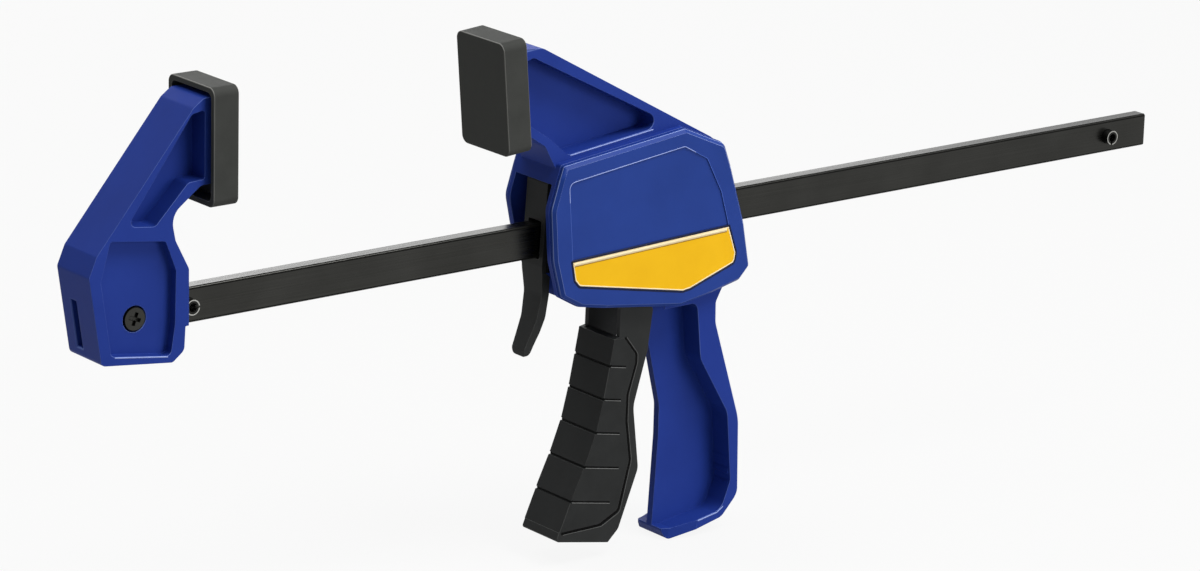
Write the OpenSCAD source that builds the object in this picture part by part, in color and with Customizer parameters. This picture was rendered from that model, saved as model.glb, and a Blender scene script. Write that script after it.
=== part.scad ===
// Quick release bar clamp with a one-hand trigger.
// +X runs along the bar from the fixed jaw to the free end, +Z points up to the jaw tips.
// The origin is the centre of the fixed pad's clamping face.
// Outlines are drawn in the X-Z plane with Z = 0 at the middle of the bar, and lifted at the end.
// The moving jaw's own outlines start at the centre of its pad face.

/* [Bar] */
// Thickness of the flat bar, across the clamp
bar_w = 6.35; // [5.5:0.05:7.5]
// Height of the flat bar
bar_h = 12.7; // [11:0.1:14]
// Width of the broken edges along the bar
bar_edge = 0.6; // [0.2:0.1:1.2]
// From the fixed pad's face to the free end
bar_reach = 436; // [360:1:620]
// From the fixed pad's face back to the hidden end
bar_tail = 46; // [44:0.5:48]
// Gap on each side of the bar in a part that slides on it
bar_play = 0.2; // [0.1:0.05:0.4]

/* [Stop pins] */
// Outer diameter of the spring pins
stop_d = 5.5; // [4.5:0.1:6]
// Bore of the spring pins
stop_bore = 3.2; // [2.5:0.1:3.8]
// Slit along each spring pin
stop_slit = 0.8; // [0.4:0.1:1.2]
// How far a pin stands out of each side of the bar
stop_proud = 3; // [2:0.1:4]
// From the fixed pad's face back to the front stop pin
stop_front = 13; // [10:0.5:13.5]
// From the free end of the bar to the rear stop pin
stop_inset = 20.2; // [12:0.1:30]

/* [Jaws] */
// From the top of the bar to the top of the pads
throat = 71; // [66:0.5:80]
// Opening between the pads as drawn
opening = 112.4; // [60:0.1:250]
// Thickness of the fixed jaw and of the moving jaw's arm
jaw_w = 20; // [18:0.5:22]
// Web left between the two pockets of a jaw
jaw_web = 4; // [3:0.5:8]

/* [Pads] */
// Width of a pad, across the clamp
pad_w = 28; // [26:0.5:32]
// Height of a pad
pad_h = 41.5; // [40:0.5:44]
// Thickness of a pad
pad_t = 10; // [9:0.5:11]
// Radius of a pad's corners
pad_corner = 3; // [2.5:0.5:6]
// Rim round a pad's hollow back
pad_rim = 2; // [1.5:0.1:2.5]
// Solid thickness behind a pad's face
pad_skin = 3.5; // [2.5:0.1:4.5]
// Lean of the moving pad's top towards the fixed jaw, in degrees
pad_cant = 5; // [3:0.5:6]
// Width of the ribs that grip the jaw tip inside a pad
pad_rib = 3; // [2:0.5:5]

/* [Fixed jaw] */
// Depth of the recessed panel round the screw
panel_depth = 3.5; // [2:0.5:4.5]
// From the fixed pad's face back to the jaw's front below the throat
block_front = 17.2; // [17:0.1:18]
// From the fixed pad's face back to the jaw's widest point
block_back = 56.8; // [54:0.1:60]
// Width of the slot in the jaw's back
slot_w = 3.6; // [2:0.1:5]
// Height of the slot in the jaw's back
slot_h = 17; // [14:0.5:19]
// How far the slot lies off the middle, across the clamp
slot_off = 2.6; // [0:0.1:3.5]

/* [Jaw screw] */
// From the fixed pad's face back to the screw
screw_x = 36.8; // [34:0.1:38]
// Shank diameter of the screw
screw_d = 5; // [4:0.1:5.5]
// Head diameter of the screw
head_d = 8.2; // [7:0.1:9]
// Head height of the screw
head_t = 2.6; // [2:0.1:3]
// How far the screw's head stands out of the panel
head_proud = 0.4; // [0:0.1:1]
// Gap round the screw's shank
screw_gap = 0.15; // [0.1:0.05:0.3]
// Gap round the screw's head
head_gap = 0.5; // [0.3:0.1:0.8]
// Width of the nut across its flats
nut_af = 8; // [7:0.1:9]
// Thickness of the nut
nut_t = 3.2; // [2.5:0.1:4]
// Wall left between the bar and the nut
nut_seat = 0.12; // [0.1:0.02:0.3]

/* [Housing] */
// Thickness of the housing without its covers
frame_w = 25; // [24:0.5:27]
// Side walls of the housing
frame_wall = 2; // [1.5:0.1:2.2]
// Thickness of a side cover
cover_t = 2.5; // [2:0.1:3]
// Width of the bevel round a side cover
cover_bevel = 1.2; // [0.8:0.1:2]
// Setback of a side cover's edge from the housing's edge
cover_inset = 0.4; // [0.2:0.1:0.8]
// Depth of the label field in a cover
field_depth = 0.4; // [0.3:0.1:0.8]
// Thickness of the label strip in the field
label_t = 0.4; // [0.3:0.1:0.6]
// Diameter of the pegs that hold a cover
peg_d = 3.2; // [2.5:0.1:4]
// Gap round a peg
peg_gap = 0.05; // [0.03:0.01:0.1]

/* [Handle] */
// Width of the handle's flange
handle_w = 22; // [18:0.5:24]
// Thickness of the handle's web
handle_web = 3; // [2:0.5:4]

/* [Trigger] */
// Diameter of the trigger's pin
pivot_d = 5; // [4:0.5:6]
// Height of the trigger's pin above the middle of the bar
pivot_z = 18; // [17:0.5:20]
// Running gap round the trigger's pin
pivot_gap = 0.05; // [0.03:0.01:0.1]
// Gap on each side of the trigger in the housing
trigger_play = 0.2; // [0.1:0.05:0.4]
// Thickness of the trigger's cheeks
cheek_t = 2; // [1.6:0.1:2.2]
// Thickness of the trigger's front wall, without the grip
front_wall = 2.2; // [1.6:0.1:2.4]
// Thickness of the soft grip on the trigger's front
grip_t = 1.6; // [1.2:0.1:2]
// Thickness of the soft grip on the trigger's sides
grip_side_t = 1.0; // [0.6:0.1:1.2]
// How far the soft grip stands out of the trigger's sides
grip_proud = 0.2; // [0:0.1:0.4]
// Number of grooves across the grip
groove_n = 5; // [3:1:5]
// Height of a groove
groove_h = 1; // [0.6:0.1:1.4]
// Depth of a groove
groove_depth = 0.8; // [0.4:0.1:1]
// Fall of a groove along the grip's sides, in degrees
side_groove_fall = 11; // [0:1:15]
// Diameter of the cross bar that pushes the drive plates
pusher_d = 5.6; // [5:0.1:6]

/* [Drive] */
// Thickness of a drive plate
drive_t = 2.5; // [2:0.1:3]
// Gap on each side of a drive plate in the trigger
drive_side = 0.5; // [0.3:0.1:0.8]
// Gap between the bar and the hole of a drive plate
drive_play = 0.15; // [0.1:0.05:0.3]
// Gap between neighbouring plates
plate_gap = 0.15; // [0.05:0.05:0.3]
// Wire diameter of both springs
wire_d = 0.9; // [0.7:0.1:1]
// Turns of the drive spring
drive_turns = 7; // [5:1:10]

/* [Brake] */
// Thickness of the brake plate
brake_t = 3; // [2.5:0.1:3.5]
// Width of the brake plate
brake_w = 14; // [12:0.5:16]
// Width of the release lever at the bar
lever_w = 12; // [10.5:0.5:13]
// Width of the release lever at its tip
lever_tip_w = 6.8; // [5:0.2:9]
// Skin of the release lever in front of the brake plate
lever_skin = 2; // [1.5:0.1:2.5]
// Lean of the brake plate when it is locked, in degrees
brake_lean = 3.5; // [2:0.5:4]
// Turns of the brake spring
brake_turns = 3; // [2:1:4]

/* [Hidden] */

blue = [0.14, 0.25, 0.59];
yellow = [0.94, 0.74, 0.08];
black = [0.14, 0.14, 0.14];
rubber = [0.24, 0.25, 0.24];
steel = [0.62, 0.63, 0.65];
eps = 0.01;
past = 30;            // how far a cut runs past the solid

// heights, from the middle of the bar
bar_top = bar_h / 2;
pad_top = bar_top + throat;
pad_mid = pad_top - pad_h / 2;
grip_half = pad_h / 2 - pad_rim - 1.75;    // half height of a jaw tip inside its pad

// stations along the moving jaw, from its pad face
brake_x = 27.4;       // front of the brake plate, if it stood upright
brake_top = 24.3;     // top of the brake plate, where it pivots
chamber_end = 38;     // rear of the brake chamber
cross_wall = 4;       // wall between the chamber and the drive cavity
cavity_start = chamber_end + cross_wall;
cavity_end = 95.6;    // front of the housing's rear wall
pivot_x = 59.6;       // trigger pin
pivot_boss_d = pivot_d + 7;
neck_front = 5.5;     // front of the trigger's neck, ahead of its pin
neck_l = 9;
neck_low = 4;         // where the neck meets the cheeks
pusher_x = 56.1;      // trigger cross bar
pusher_z = -bar_top - 7.65;
plate_x = pusher_x + pusher_d / 2 + 0.05;  // front of the front drive plate
chamber_roof = 22.5;
spring_d = 2 * norm([bar_w, bar_h]) / 2 + 0.3 + wire_d;    // mean diameter of both springs

cavity_w = frame_w - 2 * frame_wall;
trigger_w = cavity_w - 2 * trigger_play;
channel_w = trigger_w - 2 * cheek_t;
drive_w = channel_w - 2 * drive_side;
cover_y = frame_w / 2;

// ---- helpers ----

// Polygon with each corner [x, z, radius] rounded by an arc
function unit2(v) = v / norm(v);
function corner(a, b, c, r, n = 6) =
    let (u = unit2(a - b), v = unit2(c - b))
    let (half = acos(max(-1, min(1, u * v))) / 2)
    half > 89.5 ? [b] :
    let (reach = min(r / tan(half), 0.49 * min(norm(a - b), norm(c - b))))
    let (rad = reach * tan(half), mid = b + unit2(u + v) * rad / sin(half))
    let (p = b + u * reach - mid, q = b + v * reach - mid, turn = 180 - 2 * half)
    [for (i = [0:n]) mid + (p * sin(turn * (1 - i / n)) + q * sin(turn * i / n)) / sin(turn)];
function xz(p) = [p[0], p[1]];
function rounded(pts) = let (m = len(pts)) [for (i = [0:m - 1])
    let (b = pts[i], a = pts[(i + m - 1) % m], c = pts[(i + 1) % m])
    each (b[2] > 0 ? corner(xz(a), xz(b), xz(c), b[2]) : [xz(b)])];

// The same outline drawn towards its inside by a distance, corner by corner (counter-clockwise)
function inward(a, b, c, d) =
    let (u = unit2(b - a), v = unit2(c - b), m = unit2([-u[1] - v[1], u[0] + v[0]]))
    b + m * d / (m * [-u[1], u[0]]);
function inset(pts, d) = let (m = len(pts)) [for (i = [0:m - 1])
    let (q = inward(xz(pts[(i + m - 1) % m]), xz(pts[i]), xz(pts[(i + 1) % m]), d))
    [q[0], q[1], max(pts[i][2] - d, 0)]];

// Outline in X-Z made solid between two places across the clamp
module slab(outline, y0, y1) {
    translate([0, y1, 0]) rotate([90, 0, 0]) linear_extrude(y1 - y0) polygon(outline);
}
module centred_slab(outline, w) {
    slab(outline, -w / 2, w / 2);
}
// Both sides of a slab at once: cuts a pocket from each side down to a web
module pockets(outline, w, web) {
    slab(outline, web / 2, w / 2 + past);
    slab(outline, -w / 2 - past, -web / 2);
}
// Cylinder across the clamp
module cross_rod(x, z, d, y0, y1) {
    translate([x, y1, z]) rotate([90, 0, 0]) cylinder(d = d, h = y1 - y0, $fn = 48);
}
// Rectangular passage for the bar
module bar_hole(x0, x1, gap) {
    translate([x0, -bar_w / 2 - gap, -bar_h / 2 - gap])
        cube([x1 - x0, bar_w + 2 * gap, bar_h + 2 * gap]);
}
module lifted() {
    translate([0, 0, -pad_mid]) children();
}
module on_moving_jaw() {
    lifted() translate([opening, 0, 0]) children();
}
// Coil round the X axis, from x0 to x1, with closed ends
function coil_point(t, turns, x0, x1) =
    [x0 + (x1 - x0) * t, spring_d / 2 * cos(360 * turns * t), spring_d / 2 * sin(360 * turns * t)];
module coil(x0, x1, turns) {
    step = 20 * turns;
    sides = 6;
    ring = [for (i = [0:step]) let (c = coil_point(i / step, turns, x0 + wire_d / 2, x1 - wire_d / 2))
        for (k = [0:sides - 1]) let (a = 360 * k / sides, b = 360 * turns * i / step)
        c + wire_d / 2 * [sin(a), cos(a) * cos(b), cos(a) * sin(b)]];
    skin = [for (i = [0:step - 1]) for (k = [0:sides - 1]) let (n = (k + 1) % sides)
        [i * sides + k, i * sides + n, (i + 1) * sides + n, (i + 1) * sides + k]];
    first = [for (k = [0:sides - 1]) sides - 1 - k];
    last = [for (k = [0:sides - 1]) step * sides + k];
    polyhedron(ring, concat([first], skin, [last]));
}

// ---- bar and stop pins ----

module bar() {
    e = bar_edge;
    section = [[-bar_w / 2 + e, -bar_top], [bar_w / 2 - e, -bar_top], [bar_w / 2, -bar_top + e],
        [bar_w / 2, bar_top - e], [bar_w / 2 - e, bar_top], [-bar_w / 2 + e, bar_top],
        [-bar_w / 2, bar_top - e], [-bar_w / 2, -bar_top + e]];
    color(black) lifted() difference() {
        translate([-bar_tail, 0, 0]) rotate([90, 0, 90]) linear_extrude(bar_tail + bar_reach)
            polygon(section);
        for (x = [-stop_front, bar_reach - stop_inset]) cross_rod(x, 0, stop_d, -past, past);
        cross_rod(-screw_x, 0, screw_d + 2 * screw_gap, -past, past);
    }
}
module stop_pin(x, turn) {
    half = bar_w / 2 + stop_proud;
    color(black) lifted() difference() {
        cross_rod(x, 0, stop_d, -half, half);
        cross_rod(x, 0, stop_bore, -past, past);
        translate([x, -past, 0]) rotate([0, turn, 0]) translate([0, 0, -stop_slit / 2])
            cube([stop_d, 2 * past, stop_slit]);
    }
}
module stop_pin_front() {
    stop_pin(-stop_front, 0);
}
module stop_pin_rear() {
    stop_pin(bar_reach - stop_inset, 100);
}

// ---- pads ----

// Rounded rectangle, width across the clamp by height
function pad_outline(w, h, r) =
    rounded([[-w / 2, -h / 2, r], [w / 2, -h / 2, r], [w / 2, h / 2, r], [-w / 2, h / 2, r]]);
// Hollow rubber cap with its face at x = 0, its body behind it, and ribs for the jaw tip
module pad() {
    gap_w = pad_w / 2 - pad_rim - jaw_w / 2;
    color(rubber) union() {
        difference() {
            translate([-pad_t, 0, 0]) rotate([90, 0, 90]) linear_extrude(pad_t)
                polygon(pad_outline(pad_w, pad_h, pad_corner));
            translate([-pad_t - past, 0, 0]) rotate([90, 0, 90])
                linear_extrude(pad_t + past - pad_skin)
                polygon(pad_outline(pad_w - 2 * pad_rim, pad_h - 2 * pad_rim, pad_corner - pad_rim / 2));
        }
        for (side = [0, 1]) mirror([0, side, 0]) for (z = [-0.35, 0.35])
            translate([-pad_t + 2, jaw_w / 2, z * pad_h - pad_rib / 2])
                cube([pad_t - 2 - pad_skin + eps, gap_w + 0.3, pad_rib]);
    }
}
module fixed_pad() {
    pad();
}
module moving_pad() {
    on_moving_jaw() translate([0, 0, pad_mid]) rotate([0, -pad_cant, 0]) mirror([1, 0, 0]) pad();
}

// ---- fixed jaw ----

jaw_tip = -pad_skin;
tip_back = -pad_t - 2;
block_low = -bar_top - 7;
fixed_outline = [[jaw_tip, pad_mid - 12.8, 0], [tip_back - 0.5, pad_mid - 13, 3],
    [-block_front - 7.2, pad_mid - 22, 8], [-block_front - 5.4, bar_top + 19.5, 4],
    [-block_front, bar_top + 9, 3], [-block_front, -bar_top + 1.7, 0],
    [-block_front - 1.3, -bar_top + 1.6, 0], [-block_front - 1.8, block_low + 0.3, 3],
    [-block_front - 6.5, block_low - 3.3, 2], [-block_back + 4.8, block_low, 2],
    [-block_back, bar_top + 11.5, 2], [-block_back + 3, bar_top + 18.5, 3],
    [tip_back - 3.6, pad_mid + grip_half - 2.9, 5], [tip_back + 0.5, pad_mid + grip_half, 3],
    [jaw_tip, pad_mid + grip_half, 0]];
upper_pocket = [[tip_back + 1, pad_mid - 11, 1], [-block_front - 0.4, pad_mid - 11.3, 3],
    [-block_front - 13.5, bar_top + 25.6, 2], [-block_back + 15, bar_top + 27, 2],
    [tip_back - 4.2, pad_mid + grip_half - 5, 2], [tip_back + 1, pad_mid + grip_half - 4, 1]];
lower_panel = [[-block_front - 7.3, block_low - 0.8, 2], [-block_back + 8.6, block_low + 2.7, 2],
    [-block_back + 4.6, bar_top + 9.5, 3], [-block_back + 8.4, bar_top + 23, 1],
    [-block_front - 9.4, bar_top + 19.9, 1], [-block_front - 5.2, bar_top + 9.2, 3],
    [-block_front - 5.6, -bar_top + 3, 0]];
floor_y = jaw_w / 2 - panel_depth;              // floor of the recessed panels
seat_y = -floor_y + head_t - head_proud;        // under the screw's head
nut_y = bar_w / 2 + nut_seat;                   // inner face of the nut
module fixed_jaw() {
    color(blue) lifted() difference() {
        centred_slab(rounded(fixed_outline), jaw_w);
        pockets(rounded(upper_pocket), jaw_w, jaw_web);
        pockets(rounded(lower_panel), jaw_w, 2 * floor_y);
        bar_hole(-bar_tail, past, 0);
        translate([-block_back - past, slot_off - slot_w / 2, -slot_h / 2 - 1.2])
            cube([past + block_back - bar_tail + eps, slot_w, slot_h]);
        cross_rod(-screw_x, 0, screw_d + 2 * screw_gap, -past, past);
        cross_rod(-screw_x, 0, head_d + 2 * head_gap, -past, seat_y);
        nut_shape(nut_y, past, 0.1);
    }
}
// Hexagon for the nut, across the clamp
module nut_shape(y0, y1, gap) {
    translate([-screw_x, y1, 0]) rotate([90, 0, 0])
        cylinder(d = (nut_af + 2 * gap) / cos(30), h = y1 - y0, $fn = 6);
}
module fixed_jaw_screw() {
    color(black) lifted() difference() {
        union() {
            cross_rod(-screw_x, 0, head_d, seat_y - head_t, seat_y);
            cross_rod(-screw_x, 0, screw_d, seat_y, nut_y + nut_t);
        }
        for (turn = [20, 110]) translate([-screw_x, seat_y - head_t, 0]) rotate([0, turn, 0])
            cube([head_d * 0.55, head_t * 1.1, 1.2], center = true);
    }
}
module fixed_jaw_nut() {
    color(steel) lifted() difference() {
        nut_shape(nut_y, nut_y + nut_t, 0);
        cross_rod(-screw_x, 0, screw_d, -past, past);
    }
}

// ---- moving jaw frame ----

// A point in the canted pad's own axes, in the moving jaw's outline
function canted(x, z) = [x * cos(pad_cant) - z * sin(pad_cant),
    pad_mid + x * sin(pad_cant) + z * cos(pad_cant)];
function with_radius(p, r) = [p[0], p[1], r];

housing_rear = [[46.8, -26.3, 0], [80.8, -31, 5], [96, -28.4, 0], [108.9, -25.5, 3],
    [113.7, -20.5, 2], [110.3, -3, 0], [103.4, 19, 0], [100, 28, 4], [81.2, 36.2, 2],
    [25.9, 29.8, 1.5], [24.2, 24.9, 3], [20.8, 14, 8]];
near_outline = concat([[26, -19, 3], [34.8, -24, 5]], housing_rear, [[22.2, -5, 15]]);
// the far wall is cut back further below the bar, so that a finger reaches the lever
far_outline = concat([[32.8, -23.4, 2]], housing_rear, [[23.3, 2.4, 12], [29.8, -13, 10]]);
arm_outline = [with_radius(canted(pad_skin, -grip_half), 0),
    with_radius(canted(pad_t + 3, -grip_half), 0), [20.6, pad_mid - 19.8, 3], [24, 30.5, 0],
    [30, 20, 0], [95, 20, 0], [100, 28, 4], [18.5, pad_mid + grip_half - 0.8, 5],
    with_radius(canted(pad_t, grip_half - 1.5), 0), with_radius(canted(pad_skin, grip_half - 1.5), 0)];
arm_pocket = [[12.7, pad_mid - 11, 1], [21.4, pad_mid - 16.5, 3], [31, 32.2, 2],
    [77.2, 37.6, 3.2], [14.5, pad_mid + 13.2, 2], [9.9, pad_mid + 11.5, 1]];
handle_outline = [[76.4, -20, 0], [76.6, -46, 5], [82.9, -72, 14], [82.9, -84, 20], [81, -119, 1.5],
    [83, -122.8, 2], [106.8, -117.4, 5], [114.2, -109.5, 6], [113.4, -80, 20], [100.8, -41, 8],
    [100.6, -33, 3], [104.4, -26, 0], [100, -20, 0]];
handle_pocket = [[40, -32, 0], [40, -118.6, 0], [84.7, -118.4, 0], [106.4, -114.6, 6],
    [110.4, -104, 4], [108, -77, 10], [94.2, -54, 8], [91.8, -32, 3]];
cavity_outline = [[cavity_start, -19.5, 1], [52, -19.5, 1], [52.6, -34, 0], [91.8, -34, 0],
    [91.8, -31, 0], [cavity_end, -24, 0], [cavity_end, 22, 3], [90, 27, 3], [cavity_start, 27, 3]];
nose_corner = [[70, -1], [80, -1], [80, 4.5], [81.4, 7], [83.6, 8.2], [95, handle_w / 2],
    [95, handle_w], [70, handle_w]];
web_outline = [[76.4, -36, 0], [93, -36, 0], [97, -28, 0], [97, -22, 0], [82, -22, 0], [76.4, -28, 0]];
side_window = [[48, -13, 3], [90, -13, 3], [90, 11, 3], [48, 11, 3]];
pegs = [[50, 30.4], [99.6, 12], [103, -18], [46, -22.6]];

module jaw_frame() {
    color(blue) on_moving_jaw() {
        difference() {
            union() {
                slab(rounded(near_outline), -frame_w / 2, 0);
                slab(rounded(far_outline), -eps, frame_w / 2);
                centred_slab(rounded(arm_outline), jaw_w);
                centred_slab(rounded(handle_outline), handle_w);
            }
            pockets(rounded(arm_pocket), jaw_w, jaw_web);
            pockets(rounded(handle_pocket), handle_w, handle_web);
            // drive cavity, open at the bottom for the trigger
            centred_slab(rounded(cavity_outline), cavity_w);
            // brake chamber, open at the front and at the bottom
            translate([-past, -cavity_w / 2, -60])
                cube([chamber_end + past, cavity_w, chamber_roof + 60]);
            // seat of the brake plate's top edge
            translate([brake_x - 1, -brake_w / 2 - 0.5, 0])
                cube([brake_t + 2, brake_w + 1, brake_top + 0.2]);
            bar_hole(chamber_end - eps, 150, bar_play);
            centred_slab(rounded(side_window), frame_w + 2);
            cross_rod(pivot_x, pivot_z, pivot_d, -past, past);
            for (p = pegs) cross_rod(p[0], p[1], peg_d + 2 * peg_gap, -past, past);
            // the front end of the handle's foot narrows to a nose
            for (side = [0, 1]) mirror([0, side, 0]) translate([0, 0, -past - 100])
                linear_extrude(past) polygon(nose_corner);
        }
        centred_slab(rounded(web_outline), handle_web);
    }
}

// ---- covers and labels ----

// corners of the label field: its front end differs on the two sides
near_front = [[30.3, -6.2, 0], [31.6, -13.2, 2], [33.7, -15.6, 2]];
far_front = [[32.6, -6.4, 3], [36.4, -16.2, 2]];
field_low = [[81.4, -24.8, 2], [85, -24.3, 1], [105.2, -17.6, 2], [105.8, -14, 2], [102.2, -3.6, 0]];
field_high = [[98.2, 10.2, 0], [91, 23.7, 2], [80.4, 29.6, 2], [28, 23.2, 3]];
module cover(outline, front) {
    edge = inset(outline, cover_inset);
    color(blue) difference() {
        union() {
            hull() {
                slab(rounded(edge), cover_y, cover_y + cover_t - cover_bevel);
                slab(rounded(inset(edge, cover_bevel)), cover_y, cover_y + cover_t);
            }
            for (p = pegs) cross_rod(p[0], p[1], peg_d, cover_y - frame_wall, cover_y + eps);
        }
        slab(rounded(concat(field_low, field_high, front)),
            cover_y + cover_t - field_depth, cover_y + past);
    }
}
module label(front) {
    low = cover_y + cover_t - field_depth;
    color(yellow) slab(rounded(inset(concat(field_low, front), 0.05)), low, low + label_t);
}
module cover_near() {
    on_moving_jaw() mirror([0, 1, 0]) cover(near_outline, near_front);
}
module cover_far() {
    on_moving_jaw() cover(far_outline, far_front);
}
module label_near() {
    on_moving_jaw() mirror([0, 1, 0]) label(near_front);
}
module label_far() {
    on_moving_jaw() label(far_front);
}

// ---- trigger ----

// Front of the trigger below the housing, from the top down
trigger_front = [[53.9, -40, 0], [52.1, -49.5, 8], [49.6, -62, 8], [46.6, -73.7, 8], [42.1, -85, 8],
    [36.6, -96.4, 8], [30.8, -109.5, 0]];
trigger_rear = [[53.5, -117.4, 1], [58.2, -113, 3], [66.8, -91.1, 6], [63.8, -67, 12],
    [69.6, -46.5, 12], [71.7, -31, 2], [62, -20, 4]];
function moved(pts, dx) = [for (p = pts) [p[0] + dx, p[1], p[2]]];
cheek_outline = concat([[62, 8, 3], [54, 8, 3], [52.8, -8, 3], [52.8, -17, 3], [56.6, -29, 3],
    [56.4, -39.5, 0]], trigger_front, [[29.4, -112.8, 1]], trigger_rear);
channel_back = [[53, -200, 0], [100, -200, 0], [100, 40, 0], [40, 40, 0], [40, -39.5, 0]];
channel_foot = [[30.6, -118.5, 0]];
channel_outline = concat(channel_back, moved(trigger_front, grip_t + front_wall), channel_foot);
// Region that the soft grip covers
grip_back = [[49, -109.4, 3], [57.4, -105.4, 3], [62.2, -87.5, 6], [60, -72, 6], [60.2, -62, 6],
    [63.8, -50.5, 2], [63.8, -47, 2], [58.4, -40, 1]];
grip_outline = concat(trigger_front, grip_back);

module trigger_core() {
    inner_w = trigger_w - 2 * grip_side_t + 2 * grip_proud;
    color(black) on_moving_jaw() {
        difference() {
            union() {
                difference() {
                    union() {
                        centred_slab(rounded(cheek_outline), trigger_w);
                        cross_rod(pivot_x, pivot_z, pivot_boss_d, -trigger_w / 2, trigger_w / 2);
                        translate([pivot_x - neck_front, -trigger_w / 2, neck_low])
                            cube([neck_l, trigger_w, pivot_z - neck_low]);
                    }
                    centred_slab(rounded(grip_outline), frame_w);
                }
                intersection() {
                    centred_slab(rounded(cheek_outline), inner_w);
                    centred_slab(rounded(moved(grip_outline, grip_t)), inner_w);
                    centred_slab(rounded(grip_outline), frame_w);
                }
            }
            centred_slab(rounded(channel_outline), channel_w);
            cross_rod(pivot_x, pivot_z, pivot_d + 2 * pivot_gap, -past, past);
        }
        cross_rod(pusher_x, pusher_z, pusher_d, -channel_w / 2 - eps, channel_w / 2 + eps);
    }
}
module trigger_grip() {
    outer_w = trigger_w + 2 * grip_proud;
    inner_w = trigger_w - 2 * grip_side_t + 2 * grip_proud;
    tall = trigger_front[0][1] - trigger_front[len(trigger_front) - 1][1];
    color(rubber) on_moving_jaw() difference() {
        centred_slab(rounded(grip_outline), outer_w);
        intersection() {
            centred_slab(rounded(moved(grip_outline, grip_t)), inner_w);
            centred_slab(rounded(grip_outline), inner_w);
        }
        for (i = [1:groove_n]) {
            z = trigger_front[0][1] + 2.4 - i * (tall + 3.6) / (groove_n + 1);
            x = lookup(z, [for (p = trigger_front) [p[1], p[0]]]);
            translate([x - 5, -past, z - groove_h / 2]) cube([5 + groove_depth, 2 * past, groove_h]);
            // on the sides it narrows and runs down towards the back
            for (side = [-1, 1]) translate([x, side * outer_w / 2, z]) rotate([0, side_groove_fall, 0])
                translate([3.2, 0, 0]) cube([8, groove_depth, groove_h * 0.7], center = true);
        }
    }
}
module trigger_pin() {
    color(steel) on_moving_jaw() cross_rod(pivot_x, pivot_z, pivot_d, -frame_w / 2, frame_w / 2);
}

// ---- drive ----

module drive_plate(x) {
    low = pusher_z - pusher_d / 2 + 0.3;
    high = pivot_z - pivot_d / 2 - 2;
    color(steel) on_moving_jaw() difference() {
        translate([x, -drive_w / 2, low]) cube([drive_t, drive_w, high - low]);
        bar_hole(x - 1, x + drive_t + 1, drive_play);
    }
}
module drive_plate_front() {
    drive_plate(plate_x);
}
module drive_plate_rear() {
    drive_plate(plate_x + drive_t + plate_gap);
}
module drive_spring() {
    color(steel) on_moving_jaw() coil(plate_x + 2 * drive_t + plate_gap, cavity_end, drive_turns);
}

// ---- brake ----

// A point of the brake, drawn upright, after the plate leans forward about its top
function leant(x, z) =
    let (dx = x - brake_x - brake_t / 2, dz = z - brake_top)
    [brake_x + brake_t / 2 + dx * cos(brake_lean) + dz * sin(brake_lean),
    brake_top - dx * sin(brake_lean) + dz * cos(brake_lean)];
module leaning() {
    translate([brake_x + brake_t / 2, 0, brake_top]) rotate([0, brake_lean, 0])
        translate([-brake_x - brake_t / 2, 0, -brake_top]) children();
}
brake_low = -bar_top - 5;
module brake_plate() {
    color(steel) on_moving_jaw() leaning() difference() {
        translate([brake_x, -brake_w / 2, brake_low]) cube([brake_t, brake_w, brake_top - brake_low]);
        bar_hole(brake_x - 1, brake_x + brake_t + 1, drive_play);
    }
}
lever_high = chamber_roof - 0.6;
lever_tail = [[24.2, -20, 8], [22.6, -29, 8], [20, -35.3, 6], [18, -40, 2], [18.2, -42.6, 1],
    [20.2, -43, 1], [22, -38.8, 3], [24.6, -33.8, 6], [26.6, -28.5, 8], [27.4, -20, 6],
    [27.2, -13.2, 0.5]];
lever_outline = concat(
    [with_radius(leant(brake_x, lever_high), 0),
    with_radius(leant(brake_x - lever_skin, lever_high), 1),
    with_radius(leant(brake_x - lever_skin, brake_low + 2), 6)],
    lever_tail, [with_radius(leant(brake_x, brake_low - 0.3), 0)]);
// the lever seen from the front: full width above, narrower towards its rounded tip
lever_front = [[-lever_w / 2, 30, 0], [-lever_w / 2, -12, 0], [-lever_tip_w / 2, -43, 2.6],
    [lever_tip_w / 2, -43, 2.6], [lever_w / 2, -12, 0], [lever_w / 2, 30, 0]];
module release_lever() {
    color(black) on_moving_jaw() difference() {
        intersection() {
            centred_slab(rounded(lever_outline), lever_w);
            rotate([90, 0, 90]) linear_extrude(brake_x + past) polygon(rounded(lever_front));
        }
        leaning() bar_hole(0, brake_x + 1, 0.5);
    }
}
module brake_spring() {
    color(steel) on_moving_jaw()
        coil(leant(brake_x + brake_t, spring_d / 2 + wire_d)[0] + 0.15, chamber_end, brake_turns);
}

bar();
stop_pin_front();
stop_pin_rear();
fixed_jaw();
fixed_jaw_screw();
fixed_jaw_nut();
fixed_pad();
jaw_frame();
moving_pad();
cover_near();
cover_far();
label_near();
label_far();
trigger_core();
trigger_grip();
trigger_pin();
drive_plate_front();
drive_plate_rear();
drive_spring();
release_lever();
brake_plate();
brake_spring();
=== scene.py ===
"""A one-hand bar clamp: moulded nylon jaws on a black oxide bar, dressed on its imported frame."""

import math

import bmesh
import bpy
from mathutils import Matrix, Vector
from mathutils.geometry import delaunay_2d_cdt


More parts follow.
